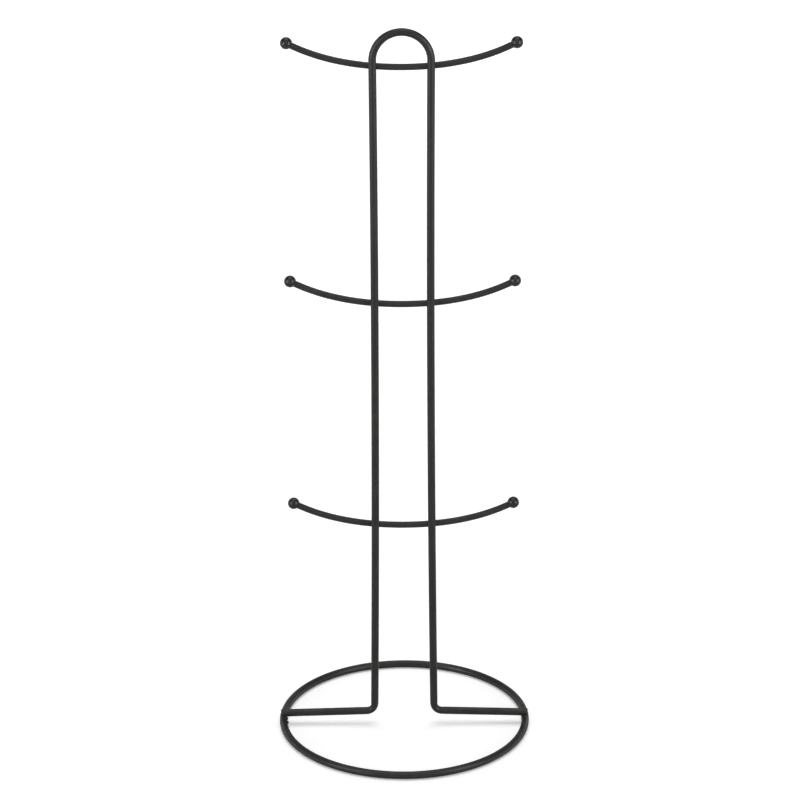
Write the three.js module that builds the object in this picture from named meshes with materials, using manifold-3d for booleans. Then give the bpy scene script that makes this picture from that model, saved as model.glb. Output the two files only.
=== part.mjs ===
// Mug tree: a countertop rack of welded, black-coated steel wire.
// A flat ring stands on the table. One wire bent into a tall inverted U stands on the ring by two
// feet, and three curved arms cross behind its legs. Each arm holds a mug by its handle on each side.
// Units are millimetres. +Z is up, the front faces -Y, left is -X. The origin is on the table at the
// centre of the ring.

import * as THREE from 'three';
import { mergeVertices } from 'three/addons/utils/BufferGeometryUtils.js';
import Module from 'manifold-3d';

// Driving dimensions
const HEAVY_WIRE = 4.8;             // diameter of the ring's and the upright's wire
const ARM_WIRE = 4.0;               // diameter of the arms' wire
const BALL = 7.4;                   // diameter of the ball on each arm end
const RING_OUTER = 160;             // outer diameter of the base ring
const TOTAL_HEIGHT = 463;           // table to the top of the upright
const LEG_HALF_WIDTH_TOP = 17.6;    // leg centre from the middle, where the round top begins
const LEG_HALF_WIDTH_FOOT = 19.0;   // the same, down at the feet
const LEG_INWARD_BOW = 1.0;         // how far each leg bows in between its ends
const FOOT_BEND = 5.2;              // centreline radius of the bend from leg to foot
const FOOT_FALL = 1.6;              // how much a foot drops on its way out to the ring
const FOOT_END_INSET = 1.0;         // foot end, in from the ring's outer edge
const ARM_HALF_SPAN = 68.9;         // middle to ball centre
const ARM_RISE = 15.1;              // ball centre above the middle of its arm
const ARM_END_CURL = 0.225;         // share of the rise that comes late, near the ends
const ARM_HEIGHTS = { top: 437.5, middle: 286, bottom: 137.5 };
const GAP = 0.3;                    // clearance between touching pieces

// Welds
const WELD_ALONG = 2.7;             // reach of a weld along the heavier wire it sits on
const WELD_ACROSS = 2.4;            // reach across that wire
const WELD_DEPTH = 1.4;             // reach from one wire towards the other
const RING_WELD_WIDTH = 1.2;        // width of the bead that closes the ring
const RING_WELD_PROUD = 0.3;        // how far that bead stands out of the wire
const RING_WELD_AHEAD = 5.0;        // distance of that bead in front of the left foot

// Fineness of the faceted surfaces
const WIRE_SIDES = 12;
const RING_STEPS = 64;
const ARCH_STEPS = 18;
const LEG_STEPS = 10;
const BEND_STEPS = 6;
const ARM_STEPS = 26;
const BALL_SIDES = 14;
const BALL_ARC_STEPS = 9;
const WELD_SIDES = 12;

const SIDES = { left: -1, right: 1 };

const heavyRadius = HEAVY_WIRE / 2;
const armRadius = ARM_WIRE / 2;
const ballRadius = BALL / 2;
const ringRadius = RING_OUTER / 2 - heavyRadius;
const ringCentreHeight = heavyRadius;
const apexHeight = TOTAL_HEIGHT - heavyRadius;
const archHeight = apexHeight - LEG_HALF_WIDTH_TOP;
const footOuterHeight = HEAVY_WIRE + GAP + heavyRadius;
const footInnerHeight = footOuterHeight + FOOT_FALL;
const footEnd = RING_OUTER / 2 - FOOT_END_INSET;

// The arms cross behind the legs. Their lines lie equally far behind and in front of the ring's middle.
const armDepth = (heavyRadius + GAP + armRadius) / 2;
const uprightDepth = -armDepth;
const ballSeat = Math.sqrt(ballRadius ** 2 - armRadius ** 2);

const coat = new THREE.MeshStandardMaterial({ color: 0x1b1c1d, roughness: 0.45, metalness: 0.1 });
const ballCoat = new THREE.MeshStandardMaterial({ color: 0x1d1e1f, roughness: 0.38, metalness: 0.1 });
const weldCoat = new THREE.MeshStandardMaterial({ color: 0x191a1b, roughness: 0.55, metalness: 0.1 });

const wasm = await Module();
wasm.setup();

// A wire's centreline through a list of stations, with one step of the sweep between neighbours.
class WireLine extends THREE.Curve {

  constructor(stations) {
    super();
    this.stations = stations;
  }

  getPoint(t, target = new THREE.Vector3()) {
    const place = t * (this.stations.length - 1);
    const index = Math.min(Math.floor(place), this.stations.length - 2);
    return target.lerpVectors(this.stations[index], this.stations[index + 1], place - index);
  }

  getUtoTmapping(u) {
    return u;
  }

}

// A section with a flat side square to each axis, so that its flats lie at the wire's radius.
function wireSection(radius) {
  const cornerRadius = radius / Math.cos(Math.PI / WIRE_SIDES);
  const corners = [];
  for (let i = 0; i < WIRE_SIDES; i++) {
    const angle = (i + 0.5) * 2 * Math.PI / WIRE_SIDES;
    corners.push(new THREE.Vector2(cornerRadius * Math.cos(angle), cornerRadius * Math.sin(angle)));
  }
  return new THREE.Shape(corners);
}

function wireGeometry(stations, radius) {
  return new THREE.ExtrudeGeometry(wireSection(radius), {
    extrudePath: new WireLine(stations),
    steps: stations.length - 1,
  });
}

function named(name, geometry, material) {
  const mesh = new THREE.Mesh(geometry, material);
  mesh.name = name;
  return mesh;
}

// Points on the arc that rounds off a corner, from the first leg's tangent point to the second's.
function roundedCorner(before, corner, after, radius, steps) {
  const back = before.clone().sub(corner).normalize();
  const ahead = after.clone().sub(corner).normalize();
  const half = back.angleTo(ahead) / 2;
  const centre = corner.clone().addScaledVector(back.clone().add(ahead).normalize(), radius / Math.sin(half));
  const start = corner.clone().addScaledVector(back, radius / Math.tan(half)).sub(centre);
  const turn = Math.PI - 2 * half;
  const points = [];
  for (let i = 0; i <= steps; i++) {
    const angle = turn * i / steps;
    const point = centre.clone().addScaledVector(start, Math.cos(angle));
    points.push(point.addScaledVector(back, -radius * Math.sin(angle)));
  }
  return points;
}

// Distance of a leg's centreline from the middle at a height.
function legHalfWidth(height) {
  const up = (height - footInnerHeight) / (archHeight - footInnerHeight);
  const straight = THREE.MathUtils.lerp(LEG_HALF_WIDTH_FOOT, LEG_HALF_WIDTH_TOP, up);
  return straight - LEG_INWARD_BOW * 4 * up * (1 - up);
}

function legPoint(height) {
  return new THREE.Vector3(legHalfWidth(height), uprightDepth, height);
}

// The upright's centreline: round top, legs, bends and feet. The right half is mirrored to the left.
function uprightStations() {
  const right = [];
  for (let i = 0; i < ARCH_STEPS; i++) {
    const angle = Math.PI / 2 * (1 - i / ARCH_STEPS);
    const across = LEG_HALF_WIDTH_TOP * Math.cos(angle);
    const height = archHeight + LEG_HALF_WIDTH_TOP * Math.sin(angle);
    right.push(new THREE.Vector3(across, uprightDepth, height));
  }
  const legFoot = footInnerHeight + 2 * FOOT_BEND;
  for (let i = 0; i <= LEG_STEPS; i++) {
    right.push(legPoint(THREE.MathUtils.lerp(archHeight, legFoot, i / LEG_STEPS)));
  }
  const corner = legPoint(footInnerHeight);
  const tip = new THREE.Vector3(footEnd, uprightDepth, footOuterHeight);
  right.push(...roundedCorner(legPoint(legFoot), corner, tip, FOOT_BEND, BEND_STEPS), tip);
  const left = right.slice(1).reverse().map((point) => new THREE.Vector3(-point.x, point.y, point.z));
  return [...left, ...right];
}

// The angle round the ring where its closing bead sits, and half the bead's own angle with clearance.
const ringWeldAngle = Math.PI + Math.asin((RING_WELD_AHEAD - uprightDepth) / ringRadius);
const ringWeldHalfAngle = (RING_WELD_WIDTH / 2 + GAP) / ringRadius;

function ringPoint(angle, radius = ringRadius) {
  return new THREE.Vector3(radius * Math.cos(angle), radius * Math.sin(angle), ringCentreHeight);
}

// The ring is one wire whose two ends meet at the closing bead.
function ringStations() {
  const start = ringWeldAngle + ringWeldHalfAngle;
  const sweep = 2 * Math.PI - 2 * ringWeldHalfAngle;
  const stations = [];
  for (let i = 0; i <= RING_STEPS; i++) {
    stations.push(ringPoint(start + sweep * i / RING_STEPS));
  }
  return stations;
}

// The bead stands proud on the ring's inside and top. Its outside and underside are flush.
function ringWeld() {
  const rim = heavyRadius + RING_WELD_PROUD;
  const half = RING_WELD_WIDTH / 2;
  const profile = [
    new THREE.Vector2(0, -half),
    new THREE.Vector2(heavyRadius, -half),
    new THREE.Vector2(rim, 0),
    new THREE.Vector2(heavyRadius, half),
    new THREE.Vector2(0, half),
  ];
  const mesh = named('weld_base_ring', new THREE.LatheGeometry(profile, WELD_SIDES), weldCoat);
  mesh.position.copy(ringPoint(ringWeldAngle, ringRadius - RING_WELD_PROUD));
  mesh.position.z = rim;
  mesh.rotation.z = ringWeldAngle;
  return mesh;
}

// Height of an arm's centreline above its middle, and its slope, at a distance from the middle.
function armLift(across) {
  const out = across / ARM_HALF_SPAN;
  return ARM_RISE * ((1 - ARM_END_CURL) * out ** 2 + ARM_END_CURL * out ** 4);
}

function armSlope(across) {
  const out = across / ARM_HALF_SPAN;
  return ARM_RISE / ARM_HALF_SPAN * (2 * (1 - ARM_END_CURL) * out + 4 * ARM_END_CURL * out ** 3);
}

function armStations(height) {
  const endAngle = Math.atan(armSlope(ARM_HALF_SPAN));
  const reach = ARM_HALF_SPAN - (ballSeat + GAP) * Math.cos(endAngle);
  const stations = [];
  for (let i = 0; i <= ARM_STEPS; i++) {
    const across = reach * (2 * i / ARM_STEPS - 1);
    stations.push(new THREE.Vector3(across, armDepth, height + armLift(across)));
  }
  return stations;
}

// A ball with a flat seat where the end of the arm is welded to it.
function ballGeometry() {
  const seatAngle = Math.acos(ballSeat / ballRadius);
  const profile = [new THREE.Vector2(0, -ballSeat)];
  for (let i = 0; i < BALL_ARC_STEPS; i++) {
    const angle = THREE.MathUtils.lerp(seatAngle, Math.PI, i / BALL_ARC_STEPS);
    profile.push(new THREE.Vector2(ballRadius * Math.sin(angle), -ballRadius * Math.cos(angle)));
  }
  profile.push(new THREE.Vector2(0, ballRadius));
  return new THREE.LatheGeometry(profile, BALL_SIDES);
}

function ballMesh(level, side) {
  const mesh = named(`ball_${level}_${side}`, ballGeometry(), ballCoat);
  const across = SIDES[side] * ARM_HALF_SPAN;
  const outward = new THREE.Vector3(1, 0, armSlope(across) * SIDES[side]);
  outward.x *= SIDES[side];
  mesh.position.set(across, armDepth, ARM_HEIGHTS[level] + armLift(across));
  mesh.quaternion.setFromUnitVectors(new THREE.Vector3(0, 1, 0), outward.normalize());
  return mesh;
}

function toSolid(geometry) {
  const bare = geometry.clone();
  bare.deleteAttribute('normal');
  bare.deleteAttribute('uv');
  const merged = mergeVertices(bare);
  return new wasm.Manifold(new wasm.Mesh({
    numProp: 3,
    vertProperties: merged.attributes.position.array,
    triVerts: new Uint32Array(merged.index.array),
  }));
}

function toGeometry(solid) {
  const mesh = solid.getMesh();
  const geometry = new THREE.BufferGeometry();
  geometry.setAttribute('position', new THREE.BufferAttribute(mesh.vertProperties, 3));
  geometry.setIndex(new THREE.BufferAttribute(mesh.triVerts, 1));
  geometry.computeVertexNormals();
  return geometry;
}

// A weld bead: a lens between two crossing wires, cut back to its clearance from both.
function beadMesh(name, centre, reach, wires) {
  const lens = new THREE.SphereGeometry(1, WELD_SIDES, WELD_SIDES / 2);
  lens.scale(reach.x, reach.y, reach.z);
  lens.translate(centre.x, centre.y, centre.z);
  let bead = toSolid(lens);
  for (const wire of wires) {
    bead = bead.subtract(wire);
  }
  return named(name, toGeometry(bead), weldCoat);
}

function armWeld(level, side, upright, arm) {
  const across = legHalfWidth(ARM_HEIGHTS[level]);
  const height = ARM_HEIGHTS[level] + armLift(across);
  const depth = uprightDepth + heavyRadius + GAP / 2;
  const centre = new THREE.Vector3(SIDES[side] * across, depth, height);
  const reach = new THREE.Vector3(WELD_ACROSS, WELD_DEPTH, WELD_ALONG);
  return beadMesh(`weld_${level}_${side}`, centre, reach, [upright, arm]);
}

function footWeld(side, upright, ring) {
  const across = Math.sqrt(ringRadius ** 2 - uprightDepth ** 2);
  const centre = new THREE.Vector3(SIDES[side] * across, uprightDepth, HEAVY_WIRE + GAP / 2);
  const reach = new THREE.Vector3(WELD_ACROSS, WELD_ALONG, WELD_DEPTH);
  return beadMesh(`weld_foot_${side}`, centre, reach, [upright, ring]);
}

function build() {
  const rack = new THREE.Group();
  rack.name = 'mug_tree';
  const upright = toSolid(wireGeometry(uprightStations(), heavyRadius + GAP));
  const ring = toSolid(wireGeometry(ringStations(), heavyRadius + GAP));

  const base = new THREE.Group();
  base.add(named('base_ring', wireGeometry(ringStations(), heavyRadius), coat));
  base.add(ringWeld());
  rack.add(base);

  rack.add(named('upright_frame', wireGeometry(uprightStations(), heavyRadius), coat));
  for (const side of Object.keys(SIDES)) {
    rack.add(footWeld(side, upright, ring));
  }

  for (const [level, height] of Object.entries(ARM_HEIGHTS)) {
    const stations = armStations(height);
    const arm = toSolid(wireGeometry(stations, armRadius + GAP));
    const tier = new THREE.Group();
    tier.add(named(`arm_${level}`, wireGeometry(stations, armRadius), coat));
    for (const side of Object.keys(SIDES)) {
      tier.add(ballMesh(level, side));
      tier.add(armWeld(level, side, upright, arm));
    }
    rack.add(tier);
  }
  return rack;
}

export default build();
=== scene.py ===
"""Looks of the mug tree: smooth coated wires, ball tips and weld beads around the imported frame.

Metres, +Z up, front faces -Y. Places and wire sizes come from the frame's boxes; the few sizes that a
box can't give are named below and are the ones the CAD part is built from.
"""

import math
import random

import bpy
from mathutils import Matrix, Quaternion, Vector


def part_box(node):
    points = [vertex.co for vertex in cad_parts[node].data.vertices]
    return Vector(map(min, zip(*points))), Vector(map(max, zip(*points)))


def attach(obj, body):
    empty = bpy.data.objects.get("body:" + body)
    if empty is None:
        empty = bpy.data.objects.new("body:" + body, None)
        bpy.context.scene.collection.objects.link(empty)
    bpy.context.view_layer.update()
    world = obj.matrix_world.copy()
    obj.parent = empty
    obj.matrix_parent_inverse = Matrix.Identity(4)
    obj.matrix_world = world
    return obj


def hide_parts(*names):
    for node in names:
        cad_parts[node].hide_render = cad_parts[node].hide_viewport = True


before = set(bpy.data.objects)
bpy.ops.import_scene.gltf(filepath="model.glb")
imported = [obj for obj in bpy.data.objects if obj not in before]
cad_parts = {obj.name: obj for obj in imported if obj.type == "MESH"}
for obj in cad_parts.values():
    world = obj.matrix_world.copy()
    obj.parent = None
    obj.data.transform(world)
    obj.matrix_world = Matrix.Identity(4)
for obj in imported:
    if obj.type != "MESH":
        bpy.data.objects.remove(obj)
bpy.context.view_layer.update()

# The rack's own pieces, so that some lamps can light them alone
rack = bpy.data.collections.new("rack")

MM = 0.001
UP = Vector((0, 0, 1))
BACKWARD = Vector((0, 1, 0))
SIDES = {"left": -1, "right": 1}
LEVELS = ("top", "middle", "bottom")

# Sizes that the boxes don't give
LEG_HALF_WIDTH_TOP = 17.6 * MM
LEG_HALF_WIDTH_FOOT = 19.0 * MM
LEG_INWARD_BOW = 1.0 * MM
FOOT_BEND = 5.2 * MM
FOOT_FALL = 1.6 * MM
ARM_END_CURL = 0.225              # share of an arm's rise that comes late, near the ends
ARM_END_SHORT = 0.5               # how far the arm's wire stops short of the ball's centre, in ball radii
BALL_RADIUS = 3.7 * MM
BALL_NECK = 0.30 * MM             # radius of the fillet of coating between ball and wire
NECK_SUNK = 0.15 * MM             # how deep the neck starts under the wire's surface
CUT_EDGE = 0.45 * MM              # rounding of a cut wire end under its coating
BEND_SQUEEZE = 0.13               # flattening in a bend, for a wire as thick as the bend is tight
BEND_SQUEEZE_MOST = 0.07

# Weld beads
BEAD_WIDEST = 3 * MM              # furthest that a bead's waist gets from the middle of a crossing
BEAD_SPREAD = 0.45 * MM           # how far its face runs out over the wires beyond the waist
BEAD_HOLLOW = 0.10 * MM           # how far its face curves in at the waist
BEAD_EDGE_SUNK = 0.02 * MM        # how deep its thin edges lie in the wires
BEAD_ROOT_DEPTH = 0.5 * MM        # how deep it is rooted in the wires
BEAD_ROOT_INSET = 0.4 * MM
BEAD_WALL = 0.9 * MM              # thickness of the bead inside its waist
BEAD_HOLE_LEAST = 0.35 * MM
BEAD_BACK_HALF = 0.25 * MM
ARM_BEAD_OPENING = 1.15 * MM      # gap between the wires that the bead fills
FOOT_BEAD_OPENING = 1.5 * MM
ARM_BEAD_WOBBLE = 0.25 * MM
FOOT_BEAD_WOBBLE = 0.3 * MM
FOOT_BEAD_OUTWARD = 1.35 * MM     # reach of a foot's bead towards the cut end of the foot
FOOT_LUMP_PLACE = Vector((2.1, -1.9, -0.3)) * MM
FOOT_LUMP_REACH = Vector((1.1, 1.3, 1.0)) * MM
COLLAR_WOBBLE = 0.08 * MM
COLLAR_THIN = 0.05 * MM           # height of the ring's closing bead outside
COLLAR_SWELL = 0.30 * MM          # what it gains on the ring's inner side
COLLAR_LOWER = 0.3                # sine of how far below the wire's middle that swelling ends
COLLAR_EDGE_SUNK = 0.3 * MM       # its depth in the wire where its share of the height is -1
COLLAR_LUMP_INWARD = 2.3 * MM
COLLAR_LUMP_UP = 0.7 * MM
COLLAR_LUMP_REACH = Vector((0.9, 1.2, 1.0)) * MM
TABLE_CLEARANCE = 0.06 * MM       # lowest point of that bead above the ring's underside
RING_WELD_SEED = 11
FOOT_WELD_SEED = 20
ARM_WELD_SEED = 40

# Fineness
WIRE_SIDES = 36
ARM_SIDES = 32
BALL_SIDES = 48
STATION_STEP = 1.6 * MM
CUT_EDGE_STEPS = 4
ARCH_STEPS = 36
LEG_STEPS = 40
FOOT_BEND_STEPS = 16
NECK_STEPS = 8
BALL_STEPS = 26
BEAD_STEPS = 64
BEAD_FACE_STEPS = 8
BEAD_VOXEL = 0.16 * MM
COLLAR_SIDES = 48

# Coats: colour, roughness where they are glossiest and dullest, strength of orange peel and of grain
HEAVY_WIRE_COAT = ((0.0056, 0.0056, 0.0050), 0.36, 0.46, 0.5, 0.35)
# The arms wear the same coat as the heavy wire. Their colour is a little lighter as painted light, standing
# in for the brighter light that falls on the arms.
ARM_WIRE_COAT_PAINTED_LIGHTER = ((0.0068, 0.0068, 0.0061), 0.37, 0.47, 0.5, 0.35)
BALL_COAT = ((0.0058, 0.0058, 0.0053), 0.22, 0.30, 0.45, 0.3)
WELD_COAT = ((0.0048, 0.0048, 0.0044), 0.46, 0.60, 0.9, 0.6)
COAT_IOR = 1.32

# Pattern of every coat. A scale is features per metre. A span is the range of the pattern's value over
# which a feature fades in or out.
CLOUD_SCALE, CLOUD_SPAN = 90.0, (0.35, 0.68)
FLECK_SCALE, FLECK_SPAN = 2600.0, (0.66, 0.78)
RUB_SCALE, RUB_PATCH_SCALE, RUB_SPAN = 320.0, 45.0, (0.28, 0.40)
GLOSS_SCALE, GLOSS_SPAN = 420.0, (0.3, 0.7)
NIB_SCALE, NIB_SPAN = 330.0, (0.05, 0.15)
NIB_GROUP_SCALE, NIB_GROUP_SPAN = 140.0, (0.50, 0.56)
PEEL_SCALE, PEEL_DEPTH = 850.0, 0.10 * MM
GRAIN_SCALE, GRAIN_DEPTH = 3400.0, 0.030 * MM
NIB_DEPTH, NIB_STRENGTH = 0.05 * MM, 0.8
DEEP_SHADE = 0.72                 # darkest clouds, times the coat's colour
WORN_SHADE = 2.4                  # flecks and rubbed patches, times the coat's colour
FLECK_SHOWS = 0.7
RUB_SHOWS = 0.5
RUB_POLISH = 0.10                 # roughness that rubbing takes away
# How much duller the coat looks where it is seen at a glancing angle: its fine grain hides the gloss there
RIM_MATTING = 0.45
RIM_NARROWNESS = 3.0

# Studio, in metres: a pale disc that curves up into a low wall.
# Its glow grows outward as the overhead lamp's light fades.
SWEEP_RADIUS = 4.4
SWEEP_BEND = 0.6
SWEEP_WALL = 1.5
SWEEP_SIDES = 96
SWEEP_FLAT_STEPS = 4
SWEEP_BEND_STEPS = 12
SWEEP_TONES = ((0.86, 0.86, 0.855, 1.0), (0.90, 0.90, 0.895, 1.0))
SWEEP_MOTTLE_SCALE = 6.0
SWEEP_ROUGHNESS = 0.75
GLOW_REACH = 3.6
GLOW_NEAR = 0.33
GLOW_FAR = 0.82

# Lamps: place, point they face, width and height in metres, then watts
OVERHEAD_BOX = ((0, 0.35, 2.6), (0, 0.25, 0), 2.2, 2.2, 44.0)
FRONT_BOX = ((0, -1.0, 1.35), (0, 0, 0.28), 0.8, 0.8, 4.5)
SIDE_BOX_PLACE = (0.80, -0.60, 0.58)
SIDE_BOX = ((0, 0, 0.40), 0.46, 0.90, 10.0)
WORLD_GLOW = 0.20
WHITE = (1.0, 1.0, 1.0, 1.0)

# Camera: a long lens in front of the rack and above it, looking down at it. Metres and radians
CAMERA_PLACE = (-0.0019, -2.0663, 1.0717)
CAMERA_TILT = 0.3896
CAMERA_ROLL = 0.0045
LENS_MM = 162.2
SENSOR_MM = 36.0
CLIP_START = 0.05
CLIP_END = 50.0

# Wire sizes and places, from the frame
upright_low, upright_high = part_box("upright_frame")
ring_low, ring_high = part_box("base_ring")
heavy_radius = (upright_high.y - upright_low.y) / 2
upright_depth = (upright_high.y + upright_low.y) / 2
ring_radius = (ring_high.y - ring_low.y) / 2 - heavy_radius
ring_height = (ring_low.z + ring_high.z) / 2
arch_height = upright_high.z - heavy_radius - LEG_HALF_WIDTH_TOP
foot_outer_height = upright_low.z + heavy_radius
foot_inner_height = foot_outer_height + FOOT_FALL
foot_end = upright_high.x


# ---------------------------------------------------------------- materials

class Nodes:
    """A short way to add and join the shader nodes of one material."""

    def __init__(self, material):
        material.use_nodes = True
        self.tree = material.node_tree
        self.tree.nodes.clear()

    def add(self, kind, **settings):
        node = self.tree.nodes.new(kind)
        for name, value in settings.items():
            setattr(node, name, value)
        return node

    def join(self, source, target):
        self.tree.links.new(source, target)

    def feed(self, value, target):
        """Links a socket, or sets a plain number or colour."""
        if isinstance(value, bpy.types.NodeSocket):
            self.join(value, target)
        else:
            target.default_value = value

    def surface(self):
        """The material's shader, joined to its output."""
        shader = self.add("ShaderNodeBsdfPrincipled")
        output = self.add("ShaderNodeOutputMaterial")
        self.join(shader.outputs["BSDF"], output.inputs["Surface"])
        return shader

    def place(self):
        """Where a point lies on the object, in metres."""
        return self.add("ShaderNodeTexCoord").outputs["Object"]

    def noise(self, place, scale, detail=2.0, roughness=0.5):
        node = self.add("ShaderNodeTexNoise")
        node.inputs["Scale"].default_value = scale
        node.inputs["Detail"].default_value = detail
        node.inputs["Roughness"].default_value = roughness
        self.join(place, node.inputs["Vector"])
        return node.outputs["Fac"]

    def cells(self, place, scale):
        """Distance to the nearest of many scattered points."""
        node = self.add("ShaderNodeTexVoronoi")
        node.inputs["Scale"].default_value = scale
        self.join(place, node.inputs["Vector"])
        return node.outputs["Distance"]

    def span(self, value, low, high, to_low=0.0, to_high=1.0):
        """A smooth step from to_low to to_high as the value goes from low to high."""
        node = self.add("ShaderNodeMapRange", interpolation_type="SMOOTHSTEP")
        for name, number in (("From Min", low), ("From Max", high), ("To Min", to_low), ("To Max", to_high)):
            node.inputs[name].default_value = number
        self.join(value, node.inputs["Value"])
        return node.outputs["Result"]

    def math(self, operation, first, second):
        node = self.add("ShaderNodeMath", operation=operation)
        for value, target in zip((first, second), node.inputs):
            self.feed(value, target)
        return node.outputs["Value"]

    def mix(self, factor, first, second):
        """A colour between the first and the second."""
        node = self.add("ShaderNodeMix", data_type="RGBA")
        self.join(factor, node.inputs["Factor"])
        colour_inputs = [socket for socket in node.inputs if socket.type == "RGBA"]
        for value, target in zip((first, second), colour_inputs):
            self.feed(value, target)
        return [socket for socket in node.outputs if socket.type == "RGBA"][0]

    def bump(self, height, distance, strength, below=None):
        """A normal bent by a height, on top of the normal below it."""
        node = self.add("ShaderNodeBump")
        node.inputs["Distance"].default_value = distance
        node.inputs["Strength"].default_value = strength
        self.join(height, node.inputs["Height"])
        if below is not None:
            self.join(below, node.inputs["Normal"])
        return node.outputs["Normal"]


def coat_colour(nodes, place, shade, rubbed):
    """Near black with soft clouds, tiny pale flecks and faint rubbed patches."""
    deep = tuple(DEEP_SHADE * c for c in shade) + (1.0,)
    worn = tuple(WORN_SHADE * c for c in shade) + (1.0,)
    base = shade + (1.0,)
    cloud = nodes.noise(place, CLOUD_SCALE, detail=3.0, roughness=0.6)
    mottled = nodes.mix(nodes.span(cloud, *CLOUD_SPAN), deep, base)
    fleck = nodes.noise(place, FLECK_SCALE, detail=1.0)
    flecked = nodes.mix(nodes.span(fleck, *FLECK_SPAN, 0.0, FLECK_SHOWS), mottled, worn)
    return nodes.mix(nodes.math("MULTIPLY", rubbed, RUB_SHOWS), flecked, worn)


def coat_roughness(nodes, place, glossiest, dullest, rubbed):
    """Uneven gloss, polished where the coat is rubbed and duller at a glancing angle."""
    uneven = nodes.noise(place, GLOSS_SCALE, detail=3.0, roughness=0.6)
    gloss = nodes.span(uneven, *GLOSS_SPAN, glossiest, dullest)
    polished = nodes.math("SUBTRACT", gloss, nodes.math("MULTIPLY", rubbed, RUB_POLISH))
    weight = nodes.add("ShaderNodeLayerWeight")
    weight.inputs["Blend"].default_value = 0.5
    rim = nodes.math("POWER", weight.outputs["Facing"], RIM_NARROWNESS)
    return nodes.math("ADD", polished, nodes.math("MULTIPLY", rim, RIM_MATTING))


def coat_relief(nodes, place, peel, grain):
    """Orange peel, with sparse dust nibs and fine grain on top of it."""
    peel_height = nodes.noise(place, PEEL_SCALE, detail=1.0, roughness=0.4)
    peel_normal = nodes.bump(peel_height, PEEL_DEPTH, peel)
    nib = nodes.span(nodes.cells(place, NIB_SCALE), *NIB_SPAN, 1.0, 0.0)
    group = nodes.span(nodes.noise(place, NIB_GROUP_SCALE, detail=1.0), *NIB_GROUP_SPAN)
    nib_normal = nodes.bump(nodes.math("MULTIPLY", nib, group), NIB_DEPTH, NIB_STRENGTH, peel_normal)
    return nodes.bump(nodes.noise(place, GRAIN_SCALE, detail=1.0), GRAIN_DEPTH, grain, nib_normal)


def powder_coat(name, shade, glossiest, dullest, peel, grain):
    """Satin black powder coat, as sprayed and baked on the welded wire."""
    material = bpy.data.materials.new(name)
    nodes = Nodes(material)
    place = nodes.place()
    shader = nodes.surface()
    scuffs = nodes.noise(place, RUB_SCALE, detail=4.0, roughness=0.65)
    patches = nodes.noise(place, RUB_PATCH_SCALE, detail=1.0)
    rubbed = nodes.span(nodes.math("MULTIPLY", scuffs, patches), *RUB_SPAN)
    nodes.join(coat_colour(nodes, place, shade, rubbed), shader.inputs["Base Color"])
    nodes.join(coat_roughness(nodes, place, glossiest, dullest, rubbed), shader.inputs["Roughness"])
    nodes.join(coat_relief(nodes, place, peel, grain), shader.inputs["Normal"])
    shader.inputs["Metallic"].default_value = 0.0
    shader.inputs["IOR"].default_value = COAT_IOR
    return material


def sweep_material():
    """Plain pale studio sweep with a barely visible mottle. Its far parts glow, as if lit from the sides."""
    material = bpy.data.materials.new("pale_sweep")
    nodes = Nodes(material)
    place = nodes.place()
    shader = nodes.surface()
    mottle = nodes.noise(place, SWEEP_MOTTLE_SCALE)
    nodes.join(nodes.mix(mottle, *SWEEP_TONES), shader.inputs["Base Color"])
    shader.inputs["Roughness"].default_value = SWEEP_ROUGHNESS
    shader.inputs["Emission Color"].default_value = WHITE
    distance = nodes.add("ShaderNodeVectorMath", operation="LENGTH")
    nodes.join(place, distance.inputs[0])
    glow = nodes.span(distance.outputs["Value"], 0.0, GLOW_REACH, GLOW_NEAR, GLOW_FAR)
    nodes.join(glow, shader.inputs["Emission Strength"])
    material.cycles.emission_sampling = "NONE"
    return material


# ---------------------------------------------------------------- meshes

def smooth_object(name, points, faces, material):
    """A smooth-shaded mesh object in the scene."""
    mesh = bpy.data.meshes.new(name)
    mesh.from_pydata([tuple(p) for p in points], [], faces)
    mesh.validate()
    mesh.polygons.foreach_set("use_smooth", [True] * len(mesh.polygons))
    mesh.materials.append(material)
    made = bpy.data.objects.new(name, mesh)
    bpy.context.scene.collection.objects.link(made)
    return made


def piece(name, points, faces, material, slot, *nodes):
    """A piece of the rack that stands for CAD nodes and moves with the frame."""
    made = smooth_object(name, points, faces, material)
    rack.objects.link(made)
    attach(made, "root")
    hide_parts(*nodes)
    return made


def loops_to_faces(count, sides, closed=False):
    """Quads between neighbouring loops of a tube.

    They face out where the loops turn right-handed about the way they follow one another.
    """
    faces = []
    for i in range(count if closed else count - 1):
        for j in range(sides):
            a = i * sides + j
            b = i * sides + (j + 1) % sides
            following = ((i + 1) % count) * sides
            faces.append((a, b, following + (j + 1) % sides, following + j))
    return faces


def turned_over(faces):
    """The same faces, facing the other way."""
    return [tuple(reversed(face)) for face in faces]


def capped(points, faces, sides):
    """Closes both ends of a tube with a fan of triangles round a middle point."""
    last = len(points) - sides
    for start, flip in ((0, True), (last, False)):
        middle = sum((points[start + j] for j in range(sides)), Vector()) / sides
        points.append(middle)
        for j in range(sides):
            a = start + j
            b = start + (j + 1) % sides
            faces.append((b, a, len(points) - 1) if flip else (a, b, len(points) - 1))
    return points, faces


def turn_at(line, i):
    """Curvature of a line of stations at one of them."""
    if i == 0 or i == len(line) - 1:
        return 0.0
    back = line[i] - line[i - 1]
    ahead = line[i + 1] - line[i]
    return back.angle(ahead) / ((back.length + ahead.length) / 2)


def eased(values, passes=4):
    """The same values, each averaged with its neighbours a few times."""
    for _ in range(passes):
        inner = [(a + 2 * b + c) / 4 for a, b, c in zip(values, values[1:], values[2:])]
        values = [values[0]] + inner + [values[-1]]
    return values


def resampled(corners, step=STATION_STEP):
    """The same line with its stations about one step apart."""
    stations = [corners[0]]
    for a, b in zip(corners, corners[1:]):
        parts = max(1, round((b - a).length / step))
        stations += [a.lerp(b, k / parts) for k in range(1, parts + 1)]
    return stations


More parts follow.
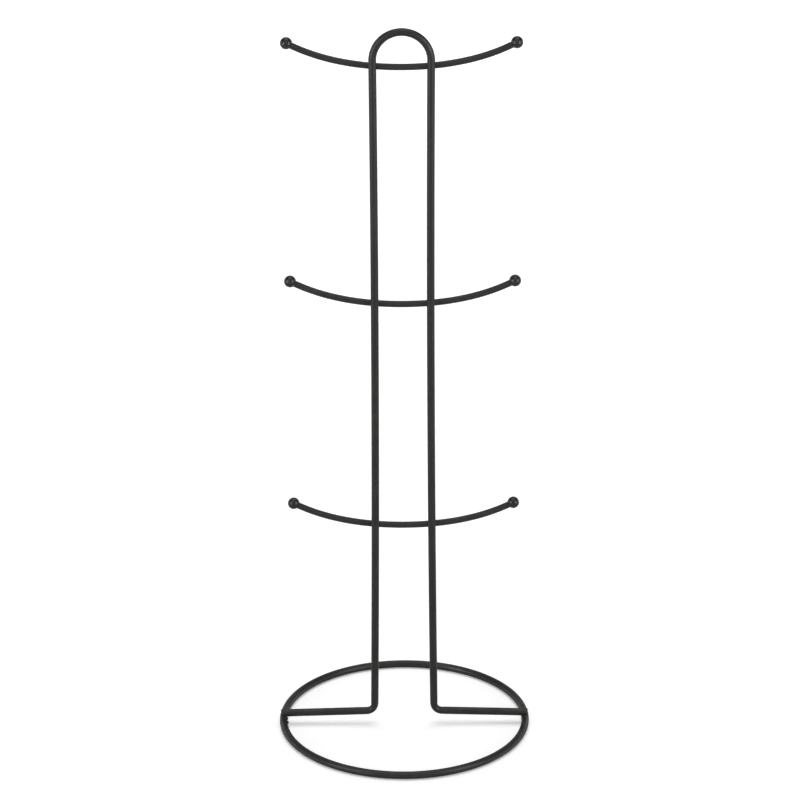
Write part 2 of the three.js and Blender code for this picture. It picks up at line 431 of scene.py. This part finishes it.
def wire(line, radius, sides, across):
    """Points and faces of a bent round wire. across is the unit vector square to the plane it lies in.

    A bend squeezes the section in its plane and lets it swell square to it, as cold bending does.
    The two cut ends have rounded edges.
    """
    curvature = eased([turn_at(line, i) for i in range(len(line))])
    points = []

    def loop(centre, tangent, reach, squeeze):
        side = across.cross(tangent).normalized()
        for j in range(sides):
            angle = 2 * math.pi * j / sides
            out = side * (math.cos(angle) * (1 - squeeze)) + across * (math.sin(angle) * (1 + squeeze / 2))
            points.append(centre + out * reach)

    first = (line[1] - line[0]).normalized()
    last = (line[-1] - line[-2]).normalized()
    edge = [math.pi / 2 * k / CUT_EDGE_STEPS for k in range(CUT_EDGE_STEPS)]
    for angle in edge:
        loop(line[0] + first * CUT_EDGE * (1 - math.cos(angle)), first,
             radius - CUT_EDGE * (1 - math.sin(angle)), 0.0)
    for i in range(1, len(line) - 1):
        tangent = (line[i + 1] - line[i - 1]).normalized()
        loop(line[i], tangent, radius, min(BEND_SQUEEZE_MOST, BEND_SQUEEZE * curvature[i] * radius))
    for angle in reversed(edge):
        loop(line[-1] - last * CUT_EDGE * (1 - math.cos(angle)), last,
             radius - CUT_EDGE * (1 - math.sin(angle)), 0.0)
    count = len(points) // sides
    return capped(points, loops_to_faces(count, sides), sides)


# ---------------------------------------------------------------- base ring and upright

def base_ring(material):
    """The ring wire runs unbroken here: its closing bead covers the joint."""
    count = round(2 * math.pi * ring_radius / STATION_STEP)
    points = []
    for i in range(count):
        angle = 2 * math.pi * i / count
        out = Vector((math.cos(angle), math.sin(angle), 0))
        for j in range(WIRE_SIDES):
            around = 2 * math.pi * j / WIRE_SIDES
            offset = out * math.cos(around) + Vector((0, 0, math.sin(around)))
            points.append(out * ring_radius + Vector((0, 0, ring_height)) + offset * heavy_radius)
    faces = turned_over(loops_to_faces(count, WIRE_SIDES, closed=True))
    piece("ring_wire", points, faces, material, "coated_heavy_wire", "base_ring")


def leg_half_width(height):
    """Middle of the upright to a leg's centreline: it narrows upward and bows in a little."""
    up = (height - foot_inner_height) / (arch_height - foot_inner_height)
    straight = LEG_HALF_WIDTH_FOOT + (LEG_HALF_WIDTH_TOP - LEG_HALF_WIDTH_FOOT) * up
    return straight - LEG_INWARD_BOW * 4 * up * (1 - up)


def leg_point(height):
    """A point of the right leg's centreline."""
    return Vector((leg_half_width(height), upright_depth, height))


def rounded_corner(before, corner, after, radius, steps):
    """The arc that rounds the corner between two straight stretches."""
    back = (before - corner).normalized()
    ahead = (after - corner).normalized()
    half = back.angle(ahead) / 2
    centre = corner + (back + ahead).normalized() * (radius / math.sin(half))
    start = corner + back * (radius / math.tan(half)) - centre
    turn = math.pi - 2 * half
    angles = [turn * k / steps for k in range(steps + 1)]
    return [centre + start * math.cos(a) - back * (radius * math.sin(a)) for a in angles]


def upright_line():
    """The upright's centreline from the left foot over the round top to the right foot."""
    right = []
    for k in range(ARCH_STEPS):
        angle = math.pi / 2 * (1 - k / ARCH_STEPS)
        right.append(Vector((LEG_HALF_WIDTH_TOP * math.cos(angle), upright_depth,
                             arch_height + LEG_HALF_WIDTH_TOP * math.sin(angle))))
    leg_foot = foot_inner_height + 2 * FOOT_BEND
    for k in range(LEG_STEPS + 1):
        right.append(leg_point(arch_height + (leg_foot - arch_height) * k / LEG_STEPS))
    tip = Vector((foot_end, upright_depth, foot_outer_height))
    right += rounded_corner(right[-1], leg_point(foot_inner_height), tip, FOOT_BEND, FOOT_BEND_STEPS)
    right.append(tip)
    left = [Vector((-p.x, p.y, p.z)) for p in reversed(right[1:])]
    return resampled(left + right)


def upright(material):
    """One heavy wire, bent into both feet, both legs and the round top."""
    points, faces = wire(upright_line(), heavy_radius, WIRE_SIDES, BACKWARD)
    piece("upright_wire", points, faces, material, "coated_heavy_wire", "upright_frame")


# ---------------------------------------------------------------- arms and balls

class Arm:
    """Where one arm lies: its depth, wire radius and curve, from the boxes of the arm and its balls."""

    def __init__(self, level):
        low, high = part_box(f"arm_{level}")
        ball_low, ball_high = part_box(f"ball_{level}_right")
        self.level = level
        self.radius = (high.y - low.y) / 2
        self.depth = (high.y + low.y) / 2
        self.height = low.z + self.radius
        self.span = (ball_low.x + ball_high.x) / 2
        self.rise = (ball_low.z + ball_high.z) / 2 - self.height

    def point(self, across):
        """A point of the centreline, across from the middle of the arm."""
        out = across / self.span
        lift = self.rise * ((1 - ARM_END_CURL) * out ** 2 + ARM_END_CURL * out ** 4)
        return Vector((across, self.depth, self.height + lift))

    def heading(self, across):
        """The way the wire runs at that point, towards the right."""
        out = across / self.span
        slope = self.rise / self.span * (2 * (1 - ARM_END_CURL) * out + 4 * ARM_END_CURL * out ** 3)
        return Vector((1, 0, slope)).normalized()


def arm_wire(arm, material):
    """The arm's wire, whose ends are hidden in its balls."""
    count = round(2 * arm.span / STATION_STEP)
    reach = arm.span - BALL_RADIUS * ARM_END_SHORT
    line = [arm.point(reach * (2 * k / count - 1)) for k in range(count + 1)]
    points, faces = wire(line, arm.radius, ARM_SIDES, BACKWARD)
    piece(f"{arm.level}_arm_wire", points, faces, material, "coated_arm_wire", f"arm_{arm.level}")


def ball_profile(wire_radius):
    """(distance along the arm from the ball's centre, radius) from the neck on the wire to the far pole."""
    neck_radius = wire_radius + BALL_NECK
    neck_place = -math.sqrt((BALL_RADIUS + BALL_NECK) ** 2 - neck_radius ** 2)
    touch = math.atan2(neck_radius, neck_place)
    profile = [(neck_place - 3 * NECK_SUNK, wire_radius - NECK_SUNK)]
    neck_turn = touch - math.pi / 2
    for k in range(NECK_STEPS + 1):
        angle = neck_turn * k / NECK_STEPS
        profile.append((neck_place + BALL_NECK * math.sin(angle), neck_radius - BALL_NECK * math.cos(angle)))
    for k in range(1, BALL_STEPS):
        angle = touch * (1 - k / BALL_STEPS)
        profile.append((BALL_RADIUS * math.cos(angle), BALL_RADIUS * math.sin(angle)))
    return profile


def ball(arm, side, material):
    """The ball on one end of an arm, turned round the arm's last stretch."""
    sign = SIDES[side]
    centre = arm.point(sign * arm.span)
    along = arm.heading(sign * arm.span) * sign
    third = BACKWARD.cross(along)
    points = []
    profile = ball_profile(arm.radius)
    for place, radius in profile:
        for j in range(BALL_SIDES):
            angle = 2 * math.pi * j / BALL_SIDES
            out = third * math.cos(angle) + BACKWARD * math.sin(angle)
            points.append(centre + along * place + out * radius)
    points, faces = capped(points, loops_to_faces(len(profile), BALL_SIDES), BALL_SIDES)
    points[-1] = centre + along * BALL_RADIUS
    piece(f"{arm.level}_{side}_ball", points, faces, material, "coated_ball", f"ball_{arm.level}_{side}")


# ---------------------------------------------------------------- welds

def ripple(seed, waves, size):
    """A smooth closed wobble round a bead: a sum of a few sine waves of random phase."""
    dice = random.Random(seed)
    terms = [(k, dice.uniform(0, 2 * math.pi), dice.uniform(0.4, 1.0) / k ** 0.5) for k in waves]
    total = sum(term[2] for term in terms)
    return lambda angle: size * sum(a * math.sin(k * angle + p) for k, p, a in terms) / total


def bent_face(start, knee, end):
    """Points of the hollow curve from start to end that leans towards the knee."""
    face = []
    for k in range(BEAD_FACE_STEPS + 1):
        t = k / BEAD_FACE_STEPS
        face.append(tuple((1 - t) ** 2 * a + 2 * t * (1 - t) * b + t * t * c
                          for a, b, c in zip(start, knee, end)))
    return face


def crossing_bead(centre, normal, heavy, other, gap, opening, wobble, limit):
    """Points and faces of the bead round the contact of two crossing wires.

    heavy and other are (unit axis, radius). normal points from the heavy wire to the other one, and
    centre is on the heavy wire's surface. The bead lies where the wires are about one opening apart,
    runs out on both with a hollow face, and closes inside them. limit(angle) caps its reach.
    """
    first = heavy[0].cross(normal).normalized()
    second = normal.cross(first).normalized()

    def surfaces(direction, s):
        """Heights of both wires' surfaces, s away from the centre."""
        off_heavy = s * direction.cross(heavy[0]).length
        off_other = s * direction.cross(other[0]).length
        low = math.sqrt(max(heavy[1] ** 2 - off_heavy ** 2, 0.0)) - heavy[1]
        high = gap + other[1] - math.sqrt(max(other[1] ** 2 - off_other ** 2, 0.0))
        return low, high

    def waist(direction, target):
        """Distance from the centre at which the wires are the target apart, found by halving."""
        near, far = 0.0, BEAD_WIDEST
        for _ in range(30):
            s = (near + far) / 2
            low, high = surfaces(direction, s)
            near, far = (s, far) if high - low < target else (near, s)
        return near

    points = []
    for i in range(BEAD_STEPS):
        angle = 2 * math.pi * i / BEAD_STEPS
        direction = first * math.cos(angle) + second * math.sin(angle)
        s = min(waist(direction, opening + wobble(angle)), limit(angle))
        low, high = surfaces(direction, s)
        low_out, high_out = surfaces(direction, s + BEAD_SPREAD)
        middle = (low + high) / 2
        profile = bent_face((s + BEAD_SPREAD, low_out - BEAD_EDGE_SUNK),
                            (s - BEAD_HOLLOW, middle),
                            (s + BEAD_SPREAD, high_out + BEAD_EDGE_SUNK))
        root = s + BEAD_SPREAD - BEAD_ROOT_INSET
        back = max(s - BEAD_WALL, BEAD_HOLE_LEAST)
        profile.append((root, high_out + BEAD_ROOT_DEPTH))
        profile.append((back, middle + BEAD_BACK_HALF))
        profile.append((back, middle - BEAD_BACK_HALF))
        profile.append((root, low_out - BEAD_ROOT_DEPTH))
        points += [centre + direction * a + normal * b for a, b in profile]
    return points, loops_to_faces(BEAD_STEPS, len(points) // BEAD_STEPS, closed=True)


def nodule(centre, reach, seed):
    """A lump of weld spatter: a squashed ball with an uneven surface."""
    dice = random.Random(seed)
    phases = [dice.uniform(0, 2 * math.pi) for _ in range(3)]
    rows = 12
    sides = 18
    oval = 0.10
    lobed = 0.06
    points = []
    for i in range(1, rows):
        polar = math.pi * i / rows
        for j in range(sides):
            turn = 2 * math.pi * j / sides
            swell = 1 + oval * math.sin(2 * turn + phases[0]) * math.sin(polar + phases[1])
            swell += lobed * math.sin(3 * turn + phases[2]) * math.sin(polar)
            points.append(centre + Vector((reach.x * math.sin(polar) * math.cos(turn),
                                           reach.y * math.sin(polar) * math.sin(turn),
                                           reach.z * math.cos(polar))) * swell)
    return capped(points, loops_to_faces(rows - 1, sides), sides)


def merged(parts):
    """Several closed shells as one list of points and faces."""
    points = []
    faces = []
    for more, more_faces in parts:
        faces += [tuple(len(points) + v for v in face) for face in more_faces]
        points += more
    return points, faces


def weld(name, parts, material, node):
    """One bead, its shells run together by a voxel remesh and softened."""
    points, faces = merged(parts)
    made = piece(name, points, faces, material, "coated_weld", node)
    remesh = made.modifiers.new("melt", "REMESH")
    remesh.mode = "VOXEL"
    remesh.voxel_size = BEAD_VOXEL
    remesh.use_smooth_shade = True
    soften = made.modifiers.new("soften", "SMOOTH")
    soften.factor = 0.5
    soften.iterations = 4
    evaluated = made.evaluated_get(bpy.context.evaluated_depsgraph_get())
    final = bpy.data.meshes.new_from_object(evaluated)
    made.modifiers.clear()
    made.data = final
    if not final.materials:
        final.materials.append(material)
    final.polygons.foreach_set("use_smooth", [True] * len(final.polygons))


def arm_weld(arm, side, seed, material):
    """The bead between a leg and the arm that crosses behind it."""
    sign = SIDES[side]
    across = leg_half_width(arm.height)
    crossing = arm.point(sign * across)
    leg_axis = (leg_point(crossing.z + MM) - leg_point(crossing.z - MM)).normalized()
    leg_axis.x *= sign
    centre = Vector((crossing.x, upright_high.y, crossing.z))
    gap = crossing.y - arm.radius - upright_high.y
    wobble = ripple(seed, (2, 3, 5), ARM_BEAD_WOBBLE)
    bead = crossing_bead(centre, BACKWARD, (leg_axis, heavy_radius),
                         (arm.heading(sign * across), arm.radius), gap, ARM_BEAD_OPENING,
                         wobble, lambda angle: BEAD_WIDEST)
    weld(f"{arm.level}_{side}_weld", [bead], material, f"weld_{arm.level}_{side}")


def foot_weld(side, seed, material):
    """The bead between the ring's top and a foot. It stops short of the foot's cut end."""
    sign = SIDES[side]
    foot_axis = Vector((sign, 0, -FOOT_FALL / (foot_end - LEG_HALF_WIDTH_FOOT))).normalized()
    ring_top = ring_high.z
    centre = Vector((sign * math.sqrt(ring_radius ** 2 - upright_depth ** 2), upright_depth, ring_top))
    gap = foot_outer_height - heavy_radius - ring_top

    def limit(angle):
        toward_end = max(0.0, math.cos(angle) * sign)
        return BEAD_WIDEST + (FOOT_BEAD_OUTWARD - BEAD_WIDEST) * toward_end ** 0.5

    parts = [crossing_bead(centre, UP, (BACKWARD, heavy_radius), (foot_axis, heavy_radius), gap,
                           FOOT_BEAD_OPENING, ripple(seed, (2, 3, 5), FOOT_BEAD_WOBBLE), limit)]
    if side == "left":
        parts.append(nodule(centre + FOOT_LUMP_PLACE, FOOT_LUMP_REACH, seed))
    weld(f"{side}_foot_weld", parts, material, f"weld_foot_{side}")


def ring_weld(seed, material):
    """The bead that closes the ring: a low collar, thickest on the ring's inner side, with one lump."""
    low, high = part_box("weld_base_ring")
    middle = (low + high) / 2
    angle = math.atan2(middle.y, middle.x)
    out = Vector((math.cos(angle), math.sin(angle), 0))
    along = Vector((-math.sin(angle), math.cos(angle), 0))
    centre = out * ring_radius + Vector((0, 0, ring_height))
    wobble = ripple(seed, (2, 3, 4), COLLAR_WOBBLE)
    # Millimetres along the ring, and the share of the collar's height there. Below 0 it is in the wire.
    profile = [(-1.5, -0.25), (-1.1, 0.0), (-0.6, 0.75), (0.0, 1.0), (0.6, 0.75), (1.1, 0.0), (1.5, -0.25)]
    points = []
    for place, rise in profile:
        for j in range(COLLAR_SIDES):
            around = 2 * math.pi * j / COLLAR_SIDES
            inward = (1 - math.cos(around)) / 2
            upward = max(0.0, math.sin(around) + COLLAR_LOWER)
            proud = COLLAR_THIN + COLLAR_SWELL * inward * upward + wobble(around) * inward
            offset = out * math.cos(around) + Vector((0, 0, math.sin(around)))
            reach = heavy_radius + rise * (proud if rise > 0 else COLLAR_EDGE_SUNK)
            point = centre + along * place * MM + offset * reach
            point.z = max(point.z, ring_low.z + TABLE_CLEARANCE)
            points.append(point)
    faces = turned_over(loops_to_faces(len(profile), COLLAR_SIDES))
    collar = capped(points, faces, COLLAR_SIDES)
    lump = nodule(centre - out * COLLAR_LUMP_INWARD + UP * COLLAR_LUMP_UP, COLLAR_LUMP_REACH, seed)
    weld("ring_closing_weld", [collar, lump], material, "weld_base_ring")


# ---------------------------------------------------------------- stage, light and camera

def sweep():
    """The table top: a wide disc that curves up into a low wall all round."""
    flat = SWEEP_RADIUS - SWEEP_BEND
    profile = [(flat * k / SWEEP_FLAT_STEPS, 0.0) for k in range(1, SWEEP_FLAT_STEPS + 1)]
    for k in range(1, SWEEP_BEND_STEPS + 1):
        angle = math.pi / 2 * k / SWEEP_BEND_STEPS
        profile.append((flat + SWEEP_BEND * math.sin(angle), SWEEP_BEND * (1 - math.cos(angle))))
    profile.append((SWEEP_RADIUS, SWEEP_WALL))
    points = [(0.0, 0.0, 0.0)]
    for radius, height in profile:
        for j in range(SWEEP_SIDES):
            angle = 2 * math.pi * j / SWEEP_SIDES
            points.append((radius * math.cos(angle), radius * math.sin(angle), height))
    faces = [(0, 1 + j, 1 + (j + 1) % SWEEP_SIDES) for j in range(SWEEP_SIDES)]
    for i in range(len(profile) - 1):
        for j in range(SWEEP_SIDES):
            a = 1 + i * SWEEP_SIDES + j
            b = 1 + i * SWEEP_SIDES + (j + 1) % SWEEP_SIDES
            faces.append((a, a + SWEEP_SIDES, b + SWEEP_SIDES, b))
    made = smooth_object("sweep", points, faces, sweep_material())


def softbox(name, place, target, width, height, power, only_rack=False):
    """A soft rectangular lamp that the camera doesn't see. With only_rack it leaves the sweep unlit."""
    light = bpy.data.lights.new(name, "AREA")
    light.shape = "RECTANGLE"
    light.size = width
    light.size_y = height
    light.energy = power
    lamp = bpy.data.objects.new(name, light)
    lamp.location = place
    lamp.rotation_euler = (Vector(target) - Vector(place)).to_track_quat("-Z", "Y").to_euler()
    lamp.visible_camera = False
    bpy.context.scene.collection.objects.link(lamp)
    if only_rack:
        lamp.light_linking.receiver_collection = rack


def lighting():
    """Soft studio light: a wide box above the rack, one in front of it and a tall one on each side.

    The side boxes stand a little in front of the rack, so a wire shows one light band along each edge
    with a darker middle. They leave the sweep unlit, so the only shadows on it are short, soft ones.
    """
    world = bpy.data.worlds.new("studio")
    world.use_nodes = True
    background = world.node_tree.nodes["Background"]
    background.inputs["Color"].default_value = WHITE
    background.inputs["Strength"].default_value = WORLD_GLOW
    bpy.context.scene.world = world
    softbox("overhead_box", *OVERHEAD_BOX)
    softbox("front_box", *FRONT_BOX, only_rack=True)
    out, ahead, up = SIDE_BOX_PLACE
    for side, sign in SIDES.items():
        softbox(f"{side}_box", (sign * out, ahead, up), *SIDE_BOX, only_rack=True)


def camera():
    """The photograph's view: a long lens, looking down at the rack from in front."""
    data = bpy.data.cameras.new("camera")
    data.sensor_width = SENSOR_MM
    data.lens = LENS_MM
    data.clip_start = CLIP_START
    data.clip_end = CLIP_END
    made = bpy.data.objects.new("camera", data)
    made.location = CAMERA_PLACE
    made.rotation_mode = "QUATERNION"
    facing = Vector((0, math.cos(CAMERA_TILT), -math.sin(CAMERA_TILT)))
    made.rotation_quaternion = facing.to_track_quat("-Z", "Y") @ Quaternion((0, 0, 1), -CAMERA_ROLL)
    bpy.context.scene.collection.objects.link(made)
    bpy.context.scene.camera = made


def build():
    """Every piece of the rack in its coat."""
    wire_coat = powder_coat("coat_heavy_wire", *HEAVY_WIRE_COAT)
    # A lighter copy of the same coat for the arms: painted light on the arms
    arm_coat_painted_lighter = powder_coat("coat_arm_wire_painted_lighter", *ARM_WIRE_COAT_PAINTED_LIGHTER)
    ball_coat = powder_coat("coat_ball", *BALL_COAT)
    weld_coat = powder_coat("coat_weld", *WELD_COAT)
    base_ring(wire_coat)
    ring_weld(RING_WELD_SEED, weld_coat)
    upright(wire_coat)
    for i, side in enumerate(SIDES):
        foot_weld(side, FOOT_WELD_SEED + i, weld_coat)
    seed = ARM_WELD_SEED
    for level in LEVELS:
        arm = Arm(level)
        arm_wire(arm, arm_coat_painted_lighter)
        for side in SIDES:
            ball(arm, side, ball_coat)
            arm_weld(arm, side, seed, weld_coat)
            seed += 1


bpy.context.scene.view_settings.view_transform = "Standard"
camera()
sweep()
lighting()
build()
